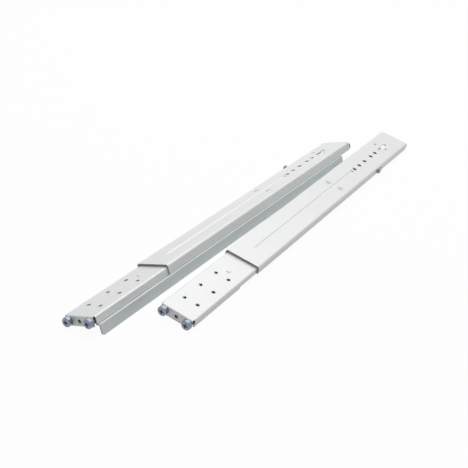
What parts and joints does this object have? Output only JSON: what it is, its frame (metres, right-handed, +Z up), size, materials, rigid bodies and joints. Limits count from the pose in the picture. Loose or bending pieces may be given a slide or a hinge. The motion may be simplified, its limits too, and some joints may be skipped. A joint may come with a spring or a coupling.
{
  "type": "sliding server rail pair",
  "caption": "Pair of adjustable-depth steel rack rails, each a front slide nested in a rear channel with a long support ledge, end flanges with rack screws, guide studs and a clamp screw.",
  "frame": {"origin": "centre of the pair's bounding box at floor level", "axes": "+Y along the rails from their front ends to their rear ends, +X to the right seen from the front, +Z up"},
  "size_m": [0.1326, 0.6918, 0.0251],
  "materials": {
    "channel_zinc": "bright zinc-plated sheet steel, satin",
    "slide_zinc": "bright zinc-plated sheet steel, satin",
    "ledge_zinc": "bright zinc-plated sheet steel, satin",
    "screw_zinc": "blue zinc-plated, bright",
    "washer_zinc": "blue zinc-plated, satin",
    "nut_steel": "plain zinc-plated, satin",
    "stud_steel": "zinc-plated, satin",
    "nylon": "natural nylon"
  },
  "bodies": {
    "rear_rails": {"left_clamp_washer": "nylon", "left_guide_bushes": "nylon", "left_guide_nuts": "stud_steel", "left_guide_studs": "stud_steel", "left_guide_washers": "stud_steel", "left_ledge_rivets": "ledge_zinc", "left_rear_centre_nut": "nut_steel", "left_rear_channel": "channel_zinc", "left_rear_clinch_nuts": "nut_steel", "left_rear_lock_washers": "washer_zinc", "left_rear_screws": "screw_zinc", "left_support_ledge": "ledge_zinc", "right_clamp_washer": "nylon", "right_guide_bushes": "nylon", "right_guide_nuts": "stud_steel", "right_guide_studs": "stud_steel", "right_guide_washers": "stud_steel", "right_ledge_rivets": "ledge_zinc", "right_rear_centre_nut": "nut_steel", "right_rear_channel": "channel_zinc", "right_rear_clinch_nuts": "nut_steel", "right_rear_lock_washers": "washer_zinc", "right_rear_screws": "screw_zinc", "right_support_ledge": "ledge_zinc"},
    "left_front": {"left_front_slide": "slide_zinc", "left_front_screws": "screw_zinc", "left_front_lock_washers": "washer_zinc", "left_front_clinch_nuts": "nut_steel", "left_front_centre_nut": "nut_steel"},
    "left_clamp": {"left_clamp_screw": "screw_zinc"},
    "right_front": {"right_front_slide": "slide_zinc", "right_front_screws": "screw_zinc", "right_front_lock_washers": "washer_zinc", "right_front_clinch_nuts": "nut_steel", "right_front_centre_nut": "nut_steel"},
    "right_clamp": {"right_clamp_screw": "screw_zinc"}
  },
  "joints": [
    {"name": "left_front_slide", "type": "slide", "parent": "rear_rails", "child": "left_front", "axis": [0, -1, 0], "range_m": [-0.0025, 0.16]},
    {"name": "left_clamp_turn", "type": "hinge", "parent": "rear_rails", "child": "left_clamp", "pos_m": [-0.06001, 0.15181, 0.01043], "axis": [-0.9664, 0, -0.257], "range_deg": [0, 360]},
    {"name": "right_front_slide", "type": "slide", "parent": "rear_rails", "child": "right_front", "axis": [0.0262, -0.9997, 0], "range_m": [-0.0088, 0.1537]},
    {"name": "right_clamp_turn", "type": "hinge", "parent": "rear_rails", "child": "right_clamp", "pos_m": [0.05346, 0.22227, 0.01043], "axis": [0.9661, 0.0253, -0.257], "range_deg": [0, 360]}
  ]
}
